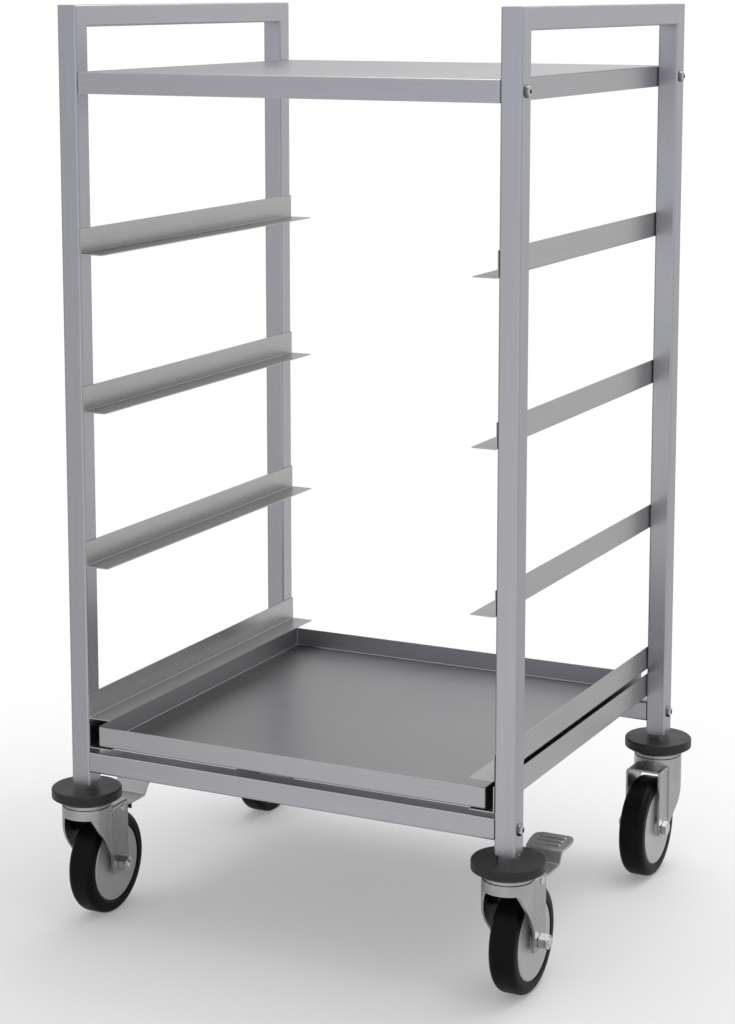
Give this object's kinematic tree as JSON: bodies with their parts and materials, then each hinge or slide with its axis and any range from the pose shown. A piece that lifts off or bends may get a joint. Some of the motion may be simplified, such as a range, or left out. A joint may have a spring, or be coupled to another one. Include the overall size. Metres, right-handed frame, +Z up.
{
  "type": "plate dispenser cart",
  "caption": "Stainless tube cart for plates and dish baskets: open front, folded top shelf, angle runners, sliding drip tray, swivel casters with bumpers, two braked.",
  "frame": {"origin": "on the floor below the middle of the cart", "axes": "+X to the right when facing the open front, +Y from the front to the back, +Z up"},
  "size_m": [0.632, 0.571, 1.093],
  "materials": {
    "stainless_brushed": "satin brushed along the tube",
    "stainless_sheet": "fine brushed sheet",
    "polished_screw": "polished",
    "zinc_plated": "bright zinc plated",
    "zinc_pressing": "bright zinc plated pressing",
    "pedal_steel": "satin plated pressing",
    "grey_wheel": "satin moulded",
    "black_tyre": "smooth rubber",
    "bumper_rubber": "satin moulded rubber"
  },
  "bodies": {
    "frame": {"left_front_post": "stainless_brushed", "left_rear_post": "stainless_brushed", "left_top_rail": "stainless_brushed", "left_basket_runner_1": "stainless_sheet", "left_basket_runner_2": "stainless_sheet", "left_basket_runner_3": "stainless_sheet", "left_basket_runner_4": "stainless_sheet", "left_tray_runner": "stainless_sheet", "right_front_post": "stainless_brushed", "right_rear_post": "stainless_brushed", "right_top_rail": "stainless_brushed", "right_basket_runner_1": "stainless_sheet", "right_basket_runner_2": "stainless_sheet", "right_basket_runner_3": "stainless_sheet", "right_basket_runner_4": "stainless_sheet", "right_tray_runner": "stainless_sheet", "front_lower_rail": "stainless_brushed", "rear_lower_rail": "stainless_brushed", "top_shelf": "stainless_sheet", "shelf_screws": "polished_screw", "rail_screws": "polished_screw", "shelf_nuts": "zinc_plated", "rail_inserts": "zinc_plated", "kingpins": "zinc_plated", "swivel_bearings": "zinc_plated", "front_left_stem_plug": "zinc_plated", "front_left_bumper": "bumper_rubber", "front_right_stem_plug": "zinc_plated", "front_right_bumper": "bumper_rubber", "rear_left_stem_plug": "zinc_plated", "rear_left_bumper": "bumper_rubber", "rear_right_stem_plug": "zinc_plated", "rear_right_bumper": "bumper_rubber"},
    "tray": {"drip_tray": "stainless_sheet"},
    "front_left_swivel": {"front_left_fork": "zinc_pressing", "front_left_axle_bolt": "zinc_plated", "front_left_axle_nut": "zinc_plated", "front_left_pivot_pin": "zinc_plated"},
    "front_left_wheel": {"front_left_wheel_centre": "grey_wheel", "front_left_tyre": "black_tyre"},
    "front_left_brake": {"front_left_brake_pedal": "pedal_steel", "front_left_brake_shoe": "bumper_rubber"},
    "front_right_swivel": {"front_right_fork": "zinc_pressing", "front_right_axle_bolt": "zinc_plated", "front_right_axle_nut": "zinc_plated", "front_right_pivot_pin": "zinc_plated"},
    "front_right_wheel": {"front_right_wheel_centre": "grey_wheel", "front_right_tyre": "black_tyre"},
    "front_right_brake": {"front_right_brake_pedal": "pedal_steel", "front_right_brake_shoe": "bumper_rubber"},
    "rear_left_swivel": {"rear_left_fork": "zinc_pressing", "rear_left_axle_bolt": "zinc_plated", "rear_left_axle_nut": "zinc_plated"},
    "rear_left_wheel": {"rear_left_wheel_centre": "grey_wheel", "rear_left_tyre": "black_tyre"},
    "rear_right_swivel": {"rear_right_fork": "zinc_pressing", "rear_right_axle_bolt": "zinc_plated", "rear_right_axle_nut": "zinc_plated"},
    "rear_right_wheel": {"rear_right_wheel_centre": "grey_wheel", "rear_right_tyre": "black_tyre"}
  },
  "joints": [
    {"name": "tray_slide", "type": "slide", "parent": "frame", "child": "tray", "axis": [0, -1, 0], "range_m": [0, 0.35]},
    {"name": "front_left_swivel_turn", "type": "hinge", "parent": "frame", "child": "front_left_swivel", "pos_m": [-0.274, -0.2435, 0.16], "axis": [0, 0, 1], "continuous": true},
    {"name": "front_left_wheel_roll", "type": "hinge", "parent": "front_left_swivel", "child": "front_left_wheel", "pos_m": [-0.274, -0.2042, 0.0625], "axis": [1, 0, 0], "continuous": true},
    {"name": "front_left_brake_press", "type": "hinge", "parent": "front_left_swivel", "child": "front_left_brake", "pos_m": [-0.274, -0.1995, 0.131], "axis": [1, 0, 0], "range_deg": [-8, 0]},
    {"name": "front_right_swivel_turn", "type": "hinge", "parent": "frame", "child": "front_right_swivel", "pos_m": [0.274, -0.2435, 0.16], "axis": [0, 0, 1], "continuous": true},
    {"name": "front_right_wheel_roll", "type": "hinge", "parent": "front_right_swivel", "child": "front_right_wheel", "pos_m": [0.274, -0.2042, 0.0625], "axis": [1, 0, 0], "continuous": true},
    {"name": "front_right_brake_press", "type": "hinge", "parent": "front_right_swivel", "child": "front_right_brake", "pos_m": [0.274, -0.1995, 0.131], "axis": [1, 0, 0], "range_deg": [-8, 0]},
    {"name": "rear_left_swivel_turn", "type": "hinge", "parent": "frame", "child": "rear_left_swivel", "pos_m": [-0.274, 0.2435, 0.16], "axis": [0, 0, 1], "continuous": true},
    {"name": "rear_left_wheel_roll", "type": "hinge", "parent": "rear_left_swivel", "child": "rear_left_wheel", "pos_m": [-0.274, 0.2042, 0.0625], "axis": [1, 0, 0], "continuous": true},
    {"name": "rear_right_swivel_turn", "type": "hinge", "parent": "frame", "child": "rear_right_swivel", "pos_m": [0.274, 0.2435, 0.16], "axis": [0, 0, 1], "continuous": true},
    {"name": "rear_right_wheel_roll", "type": "hinge", "parent": "rear_right_swivel", "child": "rear_right_wheel", "pos_m": [0.274, 0.2042, 0.0625], "axis": [1, 0, 0], "continuous": true}
  ]
}
